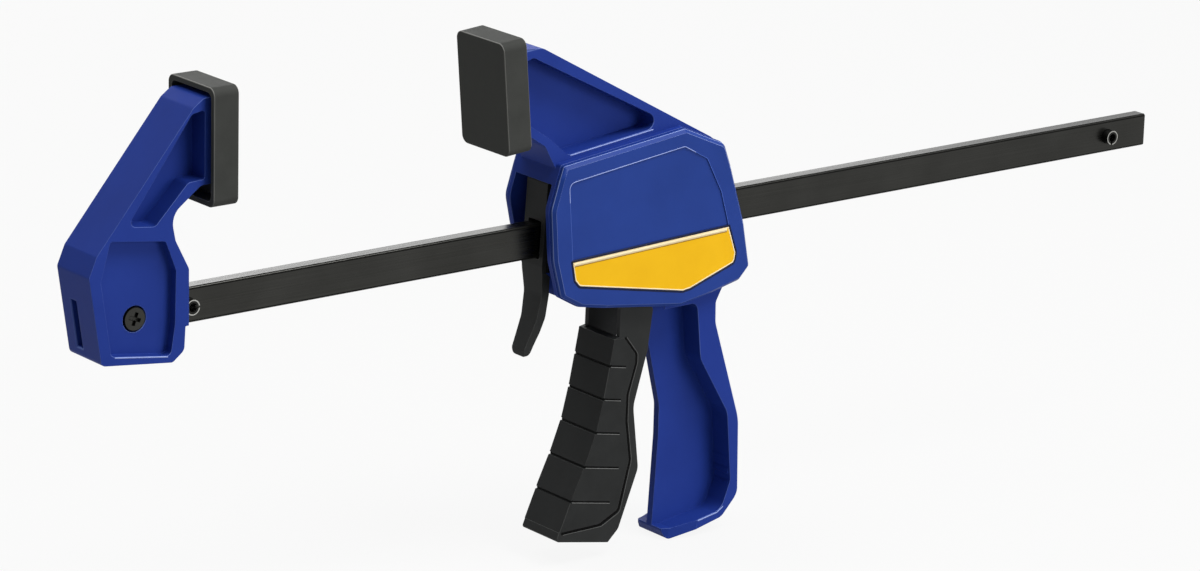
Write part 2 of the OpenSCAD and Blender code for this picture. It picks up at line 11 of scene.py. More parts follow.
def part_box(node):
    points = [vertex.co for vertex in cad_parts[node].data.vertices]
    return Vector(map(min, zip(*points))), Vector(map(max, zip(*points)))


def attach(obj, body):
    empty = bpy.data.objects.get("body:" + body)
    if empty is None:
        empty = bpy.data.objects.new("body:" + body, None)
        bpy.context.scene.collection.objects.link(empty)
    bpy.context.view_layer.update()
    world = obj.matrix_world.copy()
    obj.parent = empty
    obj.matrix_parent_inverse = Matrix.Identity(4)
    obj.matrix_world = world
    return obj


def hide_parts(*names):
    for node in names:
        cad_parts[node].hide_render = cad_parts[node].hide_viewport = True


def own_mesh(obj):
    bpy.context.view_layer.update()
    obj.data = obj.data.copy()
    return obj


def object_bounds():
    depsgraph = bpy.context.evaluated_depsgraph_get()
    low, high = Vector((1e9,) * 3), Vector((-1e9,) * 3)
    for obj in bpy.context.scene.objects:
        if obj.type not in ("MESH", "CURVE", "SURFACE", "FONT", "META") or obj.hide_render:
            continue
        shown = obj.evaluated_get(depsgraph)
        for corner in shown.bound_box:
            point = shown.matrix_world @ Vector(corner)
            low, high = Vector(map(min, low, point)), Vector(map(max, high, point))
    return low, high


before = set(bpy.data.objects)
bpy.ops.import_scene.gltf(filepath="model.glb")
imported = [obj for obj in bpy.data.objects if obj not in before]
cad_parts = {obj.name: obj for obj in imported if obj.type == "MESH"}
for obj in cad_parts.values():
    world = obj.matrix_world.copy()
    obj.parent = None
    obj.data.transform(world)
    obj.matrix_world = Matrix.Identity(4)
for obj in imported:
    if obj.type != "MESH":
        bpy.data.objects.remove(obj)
cad_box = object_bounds()

MM = 0.001
ONE_PLACE = 0.001 * MM             # points nearer to each other than this are one place

# ---- places on the clamp: two in metres, and the faces in mm from the middle plane ----

PAD_TO_BAR = -56.6 * MM            # height of the bar's middle, from the pads' middle
JAW_X = 112.4 * MM                 # face of the moving pad, where the moving jaw's own sizes start
ARM_FACE = 10.0                    # the side of an arm
HANDLE_FACE = 11.0                 # the side of the handle's flange
COVER_FACE = 15.0                  # a side cover's face
GRIP_FACE = 10.5                   # the soft grip's side
CHANNEL_FACE = 10.3                # the trigger's side, beside the grip
STRIP_DEPTH = 0.3                  # depth in mm of the thin strips, most of it sunk in a face
EDGE_MARK = "eased_edge"           # attribute that is 1 on the faces that round an outward corner


# ---- camera: where the photographer stood ----

CAMERA_PLACE = Vector((-0.8928, -1.3360, 0.4157))
CAMERA_TURN = math.radians(38.43)
CAMERA_DOWN = math.radians(16.17)
CAMERA_ROLL = math.radians(1.54)
CAMERA_LENS_MM = 146.97


def make_camera():
    """The camera at the photograph's place, turned, lowered and rolled as fitted to it."""
    forward = Vector((
        math.sin(CAMERA_TURN) * math.cos(CAMERA_DOWN),
        math.cos(CAMERA_TURN) * math.cos(CAMERA_DOWN),
        -math.sin(CAMERA_DOWN),
    ))
    level = Vector((math.cos(CAMERA_TURN), -math.sin(CAMERA_TURN), 0))
    upright = level.cross(forward)
    right = level * math.cos(CAMERA_ROLL) + upright * math.sin(CAMERA_ROLL)
    up = upright * math.cos(CAMERA_ROLL) - level * math.sin(CAMERA_ROLL)
    data = bpy.data.cameras.new("photo_camera")
    data.lens = CAMERA_LENS_MM
    data.sensor_fit = "HORIZONTAL"
    data.clip_end = 30
    camera = bpy.data.objects.new("photo_camera", data)
    axes = Matrix((right, up, -forward)).transposed().to_4x4()
    camera.matrix_world = Matrix.Translation(CAMERA_PLACE) @ axes
    bpy.context.scene.collection.objects.link(camera)
    bpy.context.scene.camera = camera


# ---- materials ----

NOISE_MIDDLE = {"From Min": 0.3, "From Max": 0.7}     # between these lie most of a noise's values
UNDERSIDE, UPPER_SIDE = -0.5, 0.6                     # a face's upward share where the painted edge highlight is least and most
UNDERSIDE_HIGHLIGHT = 0.15                                  # how much of the painted edge highlight an underside gets
PLASTIC_IOR = 1.53
FILM_IOR = 1.57
TUMBLED_ROUGHNESS = 0.7
# Painted shade: the colour of the darkened rounded edges on steel.
EDGE_SHADE_COLOUR = "#161615"


def linear(hex_colour):
    """An sRGB hex colour as the linear RGBA that a shader socket takes."""
    parts = [int(hex_colour[i:i + 2], 16) / 255 for i in (1, 3, 5)]
    return [p / 12.92 if p <= 0.04045 else ((p + 0.055) / 1.055) ** 2.4 for p in parts] + [1.0]


def add(tree, kind, feeds=None, **settings):
    """Adds one node to a tree, with its settings, and its inputs as numbers or as links."""
    made = tree.nodes.new(kind)
    for name, value in settings.items():
        setattr(made, name, value)
    for socket, value in (feeds or {}).items():
        if isinstance(value, bpy.types.NodeSocket):
            tree.links.new(value, made.inputs[socket])
        else:
            made.inputs[socket].default_value = value
    return made


def new_material(name):
    """An empty material and its tree."""
    made = bpy.data.materials.new(name)
    made.use_nodes = True
    made.node_tree.nodes.clear()
    return made, made.node_tree


def clouded(tree, noise, dark, light):
    """A colour that a noise moves between a dark and a light one."""
    share = add(tree, "ShaderNodeMapRange", {"Value": noise, **NOISE_MIDDLE})
    colour = add(tree, "ShaderNodeMix", {
        "Factor": share.outputs["Result"], "A": linear(dark), "B": linear(light),
    }, data_type="RGBA")
    return colour.outputs["Result"]


def moulded(
    name, dark, light, cloud_mm, grain_mm, grain_depth_mm, gloss, specular,
    edge="#FFFFFF", highlight_share=0.0, sheen=0.0,
):
    """A moulded plastic or rubber: cloudy flow marks move its colour and gloss a little, a fine even
    grain from the spark-eroded mould breaks up its shine, and a painted highlight makes its rounded
    edges paler, most where they face up."""
    made, tree = new_material(name)
    place = add(tree, "ShaderNodeTexCoord").outputs["Object"]
    cloud = add(tree, "ShaderNodeTexNoise", {
        "Vector": place, "Scale": 1 / (cloud_mm * MM), "Detail": 4.0, "Roughness": 0.55,
    }).outputs["Fac"]
    grain = add(tree, "ShaderNodeTexNoise", {
        "Vector": place, "Scale": 1 / (grain_mm * MM), "Detail": 3.0, "Roughness": 0.6,
    }).outputs["Fac"]
    eased_edge = add(tree, "ShaderNodeAttribute", attribute_name=EDGE_MARK).outputs["Fac"]
    facing = add(tree, "ShaderNodeNewGeometry").outputs["Normal"]
    upwards = add(tree, "ShaderNodeSeparateXYZ", {"Vector": facing}).outputs["Z"]
    # Painted highlight: rounded edges are made paler in the edge colour, most where they face up.
    rubbed = add(tree, "ShaderNodeMapRange", {
        "Value": upwards, "From Min": UNDERSIDE, "From Max": UPPER_SIDE,
        "To Min": UNDERSIDE_HIGHLIGHT * highlight_share, "To Max": highlight_share,
    })
    paler = add(tree, "ShaderNodeMath", {
        0: eased_edge, 1: rubbed.outputs["Result"],
    }, operation="MULTIPLY", use_clamp=True)
    colour = add(tree, "ShaderNodeMix", {
        "Factor": paler.outputs["Value"], "A": clouded(tree, cloud, dark, light), "B": linear(edge),
    }, data_type="RGBA")
    dull = add(tree, "ShaderNodeMapRange", {
        "Value": cloud, **NOISE_MIDDLE, "To Min": gloss[0], "To Max": gloss[1],
    })
    skin = add(tree, "ShaderNodeBump", {
        "Height": grain, "Distance": grain_depth_mm * MM, "Strength": 1.0,
    })
    shader = add(tree, "ShaderNodeBsdfPrincipled", {
        "Base Color": colour.outputs["Result"],
        "Roughness": dull.outputs["Result"],
        "IOR": PLASTIC_IOR,
        "Specular IOR Level": specular,
        "Sheen Weight": sheen,
        "Sheen Roughness": 0.5,
        "Normal": skin.outputs["Normal"],
    })
    add(tree, "ShaderNodeOutputMaterial", {"Surface": shader.outputs["BSDF"]})
    return made


def steel(name, dark, light, gloss, line_mm, stretch, depth_mm):
    """Steel whose drawing, stamping or turning left fine lines: they are stretched along the way
    that it was worked, and move its shine; a slow cloud moves its colour. Its tumbled edges are
    duller than its faces, and a painted shade makes them darker."""
    made, tree = new_material(name)
    place = add(tree, "ShaderNodeTexCoord").outputs["Object"]
    cloud_size = 22 * MM
    worked = add(tree, "ShaderNodeMapping", {
        "Vector": place, "Scale": [1 / (line_mm * MM * s) for s in stretch],
    })
    lines = add(tree, "ShaderNodeTexNoise", {
        "Vector": worked.outputs["Vector"], "Scale": 1.0, "Detail": 3.0, "Roughness": 0.55,
    }).outputs["Fac"]
    cloud = add(tree, "ShaderNodeTexNoise", {"Vector": place, "Scale": 1 / cloud_size, "Detail": 3.0})
    colour = clouded(tree, cloud.outputs["Fac"], dark, light)
    dull = add(tree, "ShaderNodeMapRange", {
        "Value": lines, **NOISE_MIDDLE, "To Min": gloss[0], "To Max": gloss[1],
    })
    eased_edge = add(tree, "ShaderNodeAttribute", attribute_name=EDGE_MARK).outputs["Fac"]
    tumbled = add(tree, "ShaderNodeMix", {
        "Factor": eased_edge, "A": dull.outputs["Result"], "B": TUMBLED_ROUGHNESS,
    }, data_type="FLOAT")
    # Painted shade: rounded edges are darkened.
    darker = add(tree, "ShaderNodeMix", {
        "Factor": eased_edge, "A": colour, "B": linear(EDGE_SHADE_COLOUR),
    }, data_type="RGBA")
    scratched = add(tree, "ShaderNodeBump", {"Height": lines, "Distance": depth_mm * MM, "Strength": 1.0})
    shader = add(tree, "ShaderNodeBsdfPrincipled", {
        "Base Color": darker.outputs["Result"],
        "Metallic": 1.0,
        "Roughness": tumbled.outputs["Result"],
        "Normal": scratched.outputs["Normal"],
    })
    add(tree, "ShaderNodeOutputMaterial", {"Surface": shader.outputs["BSDF"]})
    return made


def spring_pin_steel(name, pin_node):
    """Rolled spring steel, black oxided: dark all over, with a thin bright ring round each end."""
    ring_width, ring_blur = 0.45 * MM, 0.15 * MM
    end_depth = 0.05 * MM
    scuff_size, scuff_depth = 0.6 * MM, 0.006 * MM
    oxide, bare_steel = linear("#232322"), linear("#9A9A96")
    made, tree = new_material(name)
    low, high = (Vector(corner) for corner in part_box(pin_node))
    radius = (high.z - low.z) / 2
    place = add(tree, "ShaderNodeTexCoord").outputs["Object"]
    from_axis = add(tree, "ShaderNodeVectorMath", {
        0: place, 1: (low + high) / 2,
    }, operation="SUBTRACT").outputs["Vector"]
    flat = add(tree, "ShaderNodeVectorMath", {0: from_axis, 1: (1, 0, 1)}, operation="MULTIPLY")
    away = add(tree, "ShaderNodeVectorMath", {0: flat.outputs["Vector"]}, operation="LENGTH")
    ring = add(tree, "ShaderNodeMapRange", {
        "Value": away.outputs["Value"],
        "From Min": radius - ring_width,
        "From Max": radius - ring_width + ring_blur,
    })
    scuffs = add(tree, "ShaderNodeTexNoise", {"Vector": place, "Scale": 1 / scuff_size, "Detail": 3.0})
    across = add(tree, "ShaderNodeSeparateXYZ", {"Vector": place}).outputs["Y"]
    out = add(tree, "ShaderNodeMath", {0: across}, operation="ABSOLUTE")
    at_end = add(tree, "ShaderNodeMath", {
        0: out.outputs["Value"], 1: high.y - end_depth,
    }, operation="GREATER_THAN")
    worn = add(tree, "ShaderNodeMath", {
        0: ring.outputs["Result"], 1: at_end.outputs["Value"],
    }, operation="MULTIPLY")
    colour = add(tree, "ShaderNodeMix", {
        "Factor": worn.outputs["Value"], "A": oxide, "B": bare_steel,
    }, data_type="RGBA")
    dull = add(tree, "ShaderNodeMapRange", {"Value": scuffs.outputs["Fac"], "To Min": 0.35, "To Max": 0.5})
    pitted = add(tree, "ShaderNodeBump", {
        "Height": scuffs.outputs["Fac"], "Distance": scuff_depth, "Strength": 1.0,
    })
    shader = add(tree, "ShaderNodeBsdfPrincipled", {
        "Base Color": colour.outputs["Result"],
        "Metallic": 1.0,
        "Roughness": dull.outputs["Result"],
        "Normal": pitted.outputs["Normal"],
    })
    add(tree, "ShaderNodeOutputMaterial", {"Surface": shader.outputs["BSDF"]})
    return made


def printed_film(name, dark, light):
    """A printed polyester film: flat and a little glossy, with the ink's faint unevenness and the
    slight waviness of a film rubbed down by hand."""
    made, tree = new_material(name)
    place = add(tree, "ShaderNodeTexCoord").outputs["Object"]
    ink_patch, wave_length, wave_height = 9 * MM, 6 * MM, 0.01 * MM
    ink = add(tree, "ShaderNodeTexNoise", {"Vector": place, "Scale": 1 / ink_patch, "Detail": 3.0})
    wave = add(tree, "ShaderNodeTexNoise", {"Vector": place, "Scale": 1 / wave_length, "Detail": 1.0})
    rubbed_down = add(tree, "ShaderNodeBump", {
        "Height": wave.outputs["Fac"], "Distance": wave_height, "Strength": 1.0,
    })
    shader = add(tree, "ShaderNodeBsdfPrincipled", {
        "Base Color": clouded(tree, ink.outputs["Fac"], dark, light),
        "Roughness": 0.38,
        "IOR": FILM_IOR,
        "Specular IOR Level": 0.1,
        "Normal": rubbed_down.outputs["Normal"],
    })
    add(tree, "ShaderNodeOutputMaterial", {"Surface": shader.outputs["BSDF"]})
    return made


def make_materials():
    """Every finish on the clamp."""
    # For mouldings: dark, light, cloud mm, grain mm, grain depth mm, gloss, specular, and the colour and
    # share of the painted highlight on edges.
    # Their grains are drawn at about twice the real 0.2 mm, which is too fine to show.
    return {
        # Satin blue nylon from a spark-eroded mould, with a paler painted highlight on its upper edges.
        "blue": moulded("blue_nylon_spark_grain", "#1D3381", "#213889", 26, 0.45, 0.012,
                        (0.42, 0.5), 0.06, "#8EA6E6", 0.35),
        # The same nylon from a finer mould: greyer and glossier, with a stronger painted highlight on its
        # rim.
        "blue_cover": moulded("blue_nylon_cover", "#1B367F", "#1F3B88", 26, 0.45, 0.01,
                              (0.38, 0.46), 0.1, "#A9BCF0", 0.7),
        # Black nylon: near black and satin, read by the grey painted highlight on its edges.
        "black": moulded("black_nylon_spark_grain", "#262727", "#2C2D2D", 18, 0.45, 0.012,
                         (0.4, 0.5), 0.06, "#777877", 0.35),
        # Moulded rubber: a warm dark grey, duller than the nylon and soft at a slant.
        "pad": moulded("grey_rubber_moulded", "#363735", "#3C3D3B", 9, 0.5, 0.02,
                       (0.55, 0.68), 0.05, "#A9A9A5", 0.45, sheen=0.02),
        # Rubber moulded over the trigger: darker than the nylon beside it, with less shine.
        "grip": moulded("black_rubber_overmoulded", "#232424", "#292A2A", 9, 0.35, 0.012,
                        (0.45, 0.58), 0.05, "#777877", 0.35, sheen=0.02),
        # Painted highlight: a pale blue line along an upper edge of the nylon.
        "highlight_blue": moulded("blue_nylon_painted_highlight", "#8596D2", "#95A5DC", 26, 0.45, 0.01,
                               (0.3, 0.4), 0.3),
        # Painted highlight on the flank of a moulded line: a little paler than the cover round it.
        "faint_highlight_blue": moulded("blue_nylon_line_highlight", "#3C57A8", "#4560B0", 26, 0.45, 0.01,
                              (0.38, 0.46), 0.1),
        # Screen-printed inks on film: flat colours with clean edges.
        "yellow": printed_film("yellow_printed_film", "#E7B10B", "#EBB60F"),
        "cream": printed_film("cream_printed_line", "#F0DDB0", "#F4E4BC"),
        "brown": printed_film("brown_printed_line", "#9A6A10", "#A27114"),
        # Painted shade: a dark navy line round each label for the shade of the gap between label and cover.
        "gap_shade_navy": printed_film("navy_painted_gap_shade", "#0A1230", "#0D1638"),
        # Painted shade: a near-black strip for the shaded bottom of a groove in the rubber.
        "recess": moulded("black_rubber_groove_shade", "#060606", "#0A0A0A", 9, 0.35, 0.012, (0.6, 0.7), 0.03),
        # Painted highlight: grey lines along the upper lips of the grooves and the step round the grip.
        "lip": moulded("black_rubber_lip_highlight", "#626362", "#6E6F6E", 9, 0.35, 0.012, (0.4, 0.5), 0.2),
        "step": moulded("black_nylon_step_highlight", "#484948", "#525352", 18, 0.45, 0.012, (0.4, 0.5), 0.1),
        # For steels: dark, light, gloss, width of a line in mm, stretch along x, y and z, depth in mm.
        # Cold-drawn bar, black oxided: a satin near-black with fine lines along the bar.
        "bar": steel("black_oxide_drawn_steel", "#31312F", "#373735", (0.24, 0.34), 0.5, (120, 1, 1), 0.006),
        # Rolled spring steel, black oxided: dark, with a bright ring at each end that tells it is hollow.
        "pin_front": spring_pin_steel("black_oxide_spring_pin_front", "stop_pin_front"),
        "pin_rear": spring_pin_steel("black_oxide_spring_pin_rear", "stop_pin_rear"),
        # Cold-headed screw, black oxided: an even dark head with a soft shine.
        "screw": steel("black_oxide_screw", "#2E2E2C", "#383836", (0.3, 0.45), 0.4, (1, 1, 1), 0.004),
        # Zinc plated nut and pin: a pale bright grey with lines along the axis.
        "zinc": steel("zinc_plated_steel", "#9FA1A4", "#AEB0B2", (0.28, 0.4), 0.4, (1, 12, 1), 0.004),
        # Stamped plates, black oxided: dark and duller than the bar, with lines down the plate.
        "plate": steel("black_oxide_stamped_plate", "#2B2B2A", "#333331", (0.38, 0.5), 0.4, (1, 1, 12),
                       0.006),
        # Drawn spring wire: mid grey and bright, with lines along the turns.
        "spring": steel("drawn_spring_wire", "#6E6F71", "#7C7D7F", (0.25, 0.36), 0.2, (1, 8, 8), 0.003),
    }


# ---- outlines on the moving jaw, in mm from its pad face and from the bar's middle ----

FIELD_LOW = [(81.4, -24.8, 2), (85, -24.3, 1), (105.2, -17.6, 2), (105.8, -14, 2), (102.2, -3.6, 0)]
FIELD_HIGH = [(98.2, 10.2, 0), (91, 23.7, 2), (80.4, 29.6, 2), (28, 23.2, 3)]
CREST_REAR, CREST_FRONT = (85.5, 26.75), (28.5, 16)    # between these the field's line faces up
NEAR_FRONT = [(30.3, -6.2, 0), (31.6, -13.2, 2), (33.7, -15.6, 2)]
FAR_FRONT = [(32.6, -6.4, 3), (36.4, -16.2, 2)]
TRIGGER_FRONT = [(53.9, -40), (52.1, -49.5), (49.6, -62), (46.6, -73.7), (42.1, -85), (36.6, -96.4),
                 (30.8, -109.5)]
GRIP_BACK = [(31.2, -109.5, 0), (49, -109.4, 3), (57.4, -105.4, 3), (62.2, -87.5, 6), (60, -72, 6),
             (60.2, -62, 6), (63.8, -50.5, 2), (63.8, -47, 2), (58.4, -40, 0)]
GRIP_FOOT = -105                       # below this height the grip's outline is its foot
GROOVE_RUNS = (7.5, 8, 11, 16, 18)     # how far each groove runs back along the grip's side
GROOVE_START = 0.6                     # and where its run starts, behind the rounded corner
GROOVE_FALL = math.radians(11)
CURVE_STEPS = 6
LONGEST_REACH = 0.49                   # how much of a side the curve at one of its ends may take
HANDLE_BACK = [(113.5, -84.5), (114.1, -105.5)]


def on_jaw(u, z, y):
    """A place on the moving jaw, from mm to metres in the shared frame."""
    return Vector((JAW_X + u * MM, y * MM, PAD_TO_BAR + z * MM))


def rounded(corners, closed=True):
    """The points of an outline of corners (u, z, radius), each corner drawn as a curve."""
    points = []
    for i, (u, z, radius) in enumerate(corners):
        here = Vector((u, z))
        if not radius or not closed and i in (0, len(corners) - 1):
            points.append(here)
            continue
        back = Vector(corners[i - 1][:2]) - here
        forth = Vector(corners[(i + 1) % len(corners)][:2]) - here
        shorter = min(back.length, forth.length)
        reach = min(radius / math.tan(back.angle(forth) / 2), LONGEST_REACH * shorter)
        start, end = here + back.normalized() * reach, here + forth.normalized() * reach
        for step in range(CURVE_STEPS + 1):
            share = step / CURVE_STEPS
            points.append(start.lerp(here, share).lerp(here.lerp(end, share), share))
    return points + points[:1] if closed else points


def inset(corners, distance):
    """The corners of an outline drawn in by a distance, each radius less by as much."""
    drawn = []
    for i, (u, z, radius) in enumerate(corners):
        here = Vector((u, z))
        along = (here - Vector(corners[i - 1][:2])).normalized()
        onward = (Vector(corners[(i + 1) % len(corners)][:2]) - here).normalized()
        left = Vector((-along.y, along.x))
        inwards = (left + Vector((-onward.y, onward.x))).normalized()
        at = here + inwards * distance / inwards.dot(left)
        drawn.append((at.x, at.y, max(radius - distance, 0)))
    return drawn


# ---- objects ----

def link(piece):
    """Puts an object in the scene."""
    bpy.context.scene.collection.objects.link(piece)
    return piece


def frozen(piece):
    """The object with its modifiers made real, and none left."""
    depsgraph = bpy.context.evaluated_depsgraph_get()
    mesh = bpy.data.meshes.new_from_object(piece.evaluated_get(depsgraph))
    piece.modifiers.clear()
    old = piece.data
    piece.data = mesh
    bpy.data.meshes.remove(old)
    mesh.name = piece.name
    return piece


# ---- Geometry Nodes: coils, ribs, and lines that follow an outline ----

def new_tree(name, **sizes):
    """An empty tree with a named input for each size."""
    tree = bpy.data.node_groups.new(name, "GeometryNodeTree")
    tree.interface.new_socket("Geometry", in_out="INPUT", socket_type="NodeSocketGeometry")
    for size, kind in sizes.items():
        tree.interface.new_socket(size, in_out="INPUT", socket_type="NodeSocket" + kind)
    tree.interface.new_socket("Geometry", in_out="OUTPUT", socket_type="NodeSocketGeometry")
    return tree, add(tree, "NodeGroupInput").outputs


def end_tree(tree, shape, finish):
    """Ends a tree with its copies made real and in their finish."""
    real = add(tree, "GeometryNodeRealizeInstances", {"Geometry": shape})
    coated = add(tree, "GeometryNodeSetMaterial", {"Geometry": real.outputs[0], "Material": finish})
    add(tree, "NodeGroupOutput", {"Geometry": coated.outputs[0]})
    return tree


def strip_tree():
    """A strip of rectangular section along each path: Depth is across the path's plane."""
    tree, sizes = new_tree("strip_along_path", Depth="Float", Width="Float", Finish="Material")
    path = add(tree, "GeometryNodeMeshToCurve", {"Mesh": sizes["Geometry"]})
    section = add(tree, "GeometryNodeCurvePrimitiveQuadrilateral", {
        "Width": sizes["Depth"], "Height": sizes["Width"],
    })
    strip = add(tree, "GeometryNodeCurveToMesh", {
        "Curve": path.outputs[0], "Profile Curve": section.outputs[0], "Fill Caps": True,
    })
    return end_tree(tree, strip.outputs[0], sizes["Finish"])


def coil_tree():
    """A compression spring round the bar: its first and last turns lie flat against their seats."""
    points = 280
    seat = 0.1                         # share of the wire that lies flat at each end
    tree, sizes = new_tree(
        "coil_round_bar", Turns="Float", Start="Float", End="Float", Height="Float", Radius="Float",
        Wire="Float", Finish="Material",
    )
    line = add(tree, "GeometryNodeMeshLine", {"Count": points})
    index = add(tree, "GeometryNodeInputIndex")
    share = add(tree, "ShaderNodeMath", {0: index.outputs[0], 1: points - 1.0}, operation="DIVIDE")
    turned = add(tree, "ShaderNodeMath", {0: share.outputs[0], 1: sizes["Turns"]}, operation="MULTIPLY")
    angle = add(tree, "ShaderNodeMath", {0: turned.outputs[0], 1: math.tau}, operation="MULTIPLY")
    across = add(tree, "ShaderNodeMath", {0: angle.outputs[0]}, operation="COSINE")
    upward = add(tree, "ShaderNodeMath", {0: angle.outputs[0]}, operation="SINE")
    x = add(tree, "ShaderNodeMapRange", {
        "Value": share.outputs[0], "From Min": seat, "From Max": 1 - seat,
        "To Min": sizes["Start"], "To Max": sizes["End"],
    })
    y = add(tree, "ShaderNodeMath", {0: across.outputs[0], 1: sizes["Radius"]}, operation="MULTIPLY")
    z = add(tree, "ShaderNodeMath", {
        0: upward.outputs[0], 1: sizes["Radius"], 2: sizes["Height"],
    }, operation="MULTIPLY_ADD")
    place = add(tree, "ShaderNodeCombineXYZ", {
        "X": x.outputs["Result"], "Y": y.outputs[0], "Z": z.outputs[0],
    })
    wound = add(tree, "GeometryNodeSetPosition", {"Geometry": line.outputs[0], "Position": place.outputs[0]})
    path = add(tree, "GeometryNodeMeshToCurve", {"Mesh": wound.outputs[0]})
    section = add(tree, "GeometryNodeCurvePrimitiveCircle", {"Resolution": 10, "Radius": sizes["Wire"]})
    wire = add(tree, "GeometryNodeCurveToMesh", {
        "Curve": path.outputs[0], "Profile Curve": section.outputs[0], "Fill Caps": True,
    })
    return end_tree(tree, wire.outputs[0], sizes["Finish"])


def rib_tree():
    """Round ribs across the clamp, evenly along a path."""
    tree, sizes = new_tree(
        "ribs_along_path", Ribs="Int", Half="Vector", Radius="Float", Finish="Material",
    )
    path = add(tree, "GeometryNodeMeshToCurve", {"Mesh": sizes["Geometry"]})
    spots = add(tree, "GeometryNodeCurveToPoints", {"Curve": path.outputs[0], "Count": sizes["Ribs"]})
    other_end = add(tree, "ShaderNodeVectorMath", {0: sizes["Half"], 1: (-1, -1, -1)}, operation="MULTIPLY")
    line = add(tree, "GeometryNodeCurvePrimitiveLine", {"Start": sizes["Half"], "End": other_end.outputs[0]})
    section = add(tree, "GeometryNodeCurvePrimitiveCircle", {"Resolution": 24, "Radius": sizes["Radius"]})
    rib = add(tree, "GeometryNodeCurveToMesh", {
        "Curve": line.outputs[0], "Profile Curve": section.outputs[0], "Fill Caps": True,
    })
    row = add(tree, "GeometryNodeInstanceOnPoints", {"Points": spots.outputs[0], "Instance": rib.outputs[0]})
    return end_tree(tree, row.outputs[0], sizes["Finish"])


def path_mesh(name, paths):
    """A mesh of edges along the paths; one that ends where it starts is a ring."""
    verts, edges = [], []
    for path in paths:
        first = len(verts)
        ring = (path[0] - path[-1]).length < ONE_PLACE
        verts += path[:-1] if ring else path
        edges += [(i, i + 1) for i in range(first, len(verts) - 1)]
        if ring:
            edges.append((len(verts) - 1, first))
    mesh = bpy.data.meshes.new(name)
    mesh.from_pydata(verts, edges, [])
    return mesh


def grown(name, tree, base, **sizes):
    """The plain mesh that a tree makes of a base mesh, as a piece."""
    piece = link(bpy.data.objects.new(name, base))
    modifier = piece.modifiers.new(name, "NODES")
    modifier.node_group = tree
    for socket in tree.interface.items_tree:
        if socket.name in sizes:
            modifier[socket.identifier] = sizes[socket.name]
    return frozen(piece)


def line_on_side(name, body, finish, tree, paths, face, width, proud=0.03):
    """A thin strip along paths (u, z) on both sides of the clamp. The face that carries it lies at
    `face` mm from the middle plane. A list of paths serves both sides; a dict gives each side its
    own, -1 for the near one and 1 for the far one."""
    sides = paths if isinstance(paths, dict) else {-1: paths, 1: paths}
    placed = [
        [on_jaw(u, z, side * (face + proud - STRIP_DEPTH / 2)) for u, z in path]
        for side, own in sides.items() for path in own
    ]
    piece = grown(
        name, tree, path_mesh(name, placed), Depth=STRIP_DEPTH * MM, Width=width * MM, Finish=finish,
    )
    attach(piece, body)


def label_lines(skins, tree):
    """The printed border and top lines of both labels, and the line of painted shade round each."""
    end_gap = 0.8                      # mm from a top line's end to the label's
    fronts = {-1: NEAR_FRONT, 1: FAR_FRONT}
    # name, finish, mm inside the label's edge, width, height above the face
    for name, skin, inside, width, proud in (
        # The first line is painted shade round the label's edge; the second is printed.
        ("label_gap_shade", "gap_shade_navy", -0.3, 0.85, 0.03),
        ("label_border", "cream", 0.34, 0.42, 0.05),
    ):
        rings = {side: [rounded(inset(FIELD_LOW + front, inside))] for side, front in fronts.items()}
        line_on_side(
            name, "moving_jaw", skins[skin], tree, rings, COVER_FACE, width, proud
        )
    # name, finish, mm below the label's top edge, width
    for name, skin, below, width in (
        ("label_top_band", "cream", 0.95, 1.3),
        ("label_top_line", "brown", 1.78, 0.3),
    ):
        lines = {}
        for side, front in fronts.items():
            start, end = Vector(FIELD_LOW[-1][:2]), Vector(front[0][:2])
            along = (end - start).normalized() * end_gap
            down = Vector((0, -below))
            lines[side] = [[start + along + down, end - along + down]]
        line_on_side(
            name, "moving_jaw", skins[skin], tree, lines, COVER_FACE, width, 0.04
        )


def field_lines(skins, tree):
    """Painted highlight along the moulded line round the field above each label: bright along its crest,
    faint beside it.
    """
    above_label = 0.4
    crest = rounded([(*CREST_REAR, 0), *FIELD_HIGH[2:], (*CREST_FRONT, 0)], False)
    line_on_side(
        "field_crest_highlight", "moving_jaw", skins["highlight_blue"], tree, [crest], COVER_FACE, 0.3
    )
    rear_foot = (FIELD_LOW[-1][0], FIELD_LOW[-1][1] + above_label, 0)
    rear = rounded([rear_foot, *FIELD_HIGH[:2], (*CREST_REAR, 0)], False)
    flanks = {
        side: [rear, [Vector(CREST_FRONT), Vector(front[0][:2]) + Vector((0, above_label))]]
        for side, front in ((-1, NEAR_FRONT), (1, FAR_FRONT))
    }
    line_on_side(
        "field_side_highlights", "moving_jaw", skins["faint_highlight_blue"], tree, flanks, COVER_FACE, 0.25
    )


def trigger_front_at(z):
    """How far back the trigger's front lies at a height, both in mm."""
    for (u0, z0), (u1, z1) in zip(TRIGGER_FRONT, TRIGGER_FRONT[1:]):
        if z1 <= z <= z0:
            return u0 + (u1 - u0) * (z - z0) / (z1 - z0)


def grip_lines(skins, tree):
    """Painted shade for the shut-off groove behind the soft grip, and a painted highlight on the step beside
    it.
    """
    # name, finish, mm behind the grip, mm below its foot, width, height above the face
    for name, skin, behind, below, width, proud in (
        ("grip_shutoff_groove_shade", "recess", 0.55, 0.5, 1.1, 0.05),
        ("grip_shutoff_step_highlight", "step", 1.3, 1.2, 0.3, 0.07),
    ):
        path = rounded([(u + behind, z - (below if z < GRIP_FOOT else 0), r) for u, z, r in GRIP_BACK], False)
        line_on_side(
            name, "trigger", skins[skin], tree, [path], CHANNEL_FACE, width, proud
        )


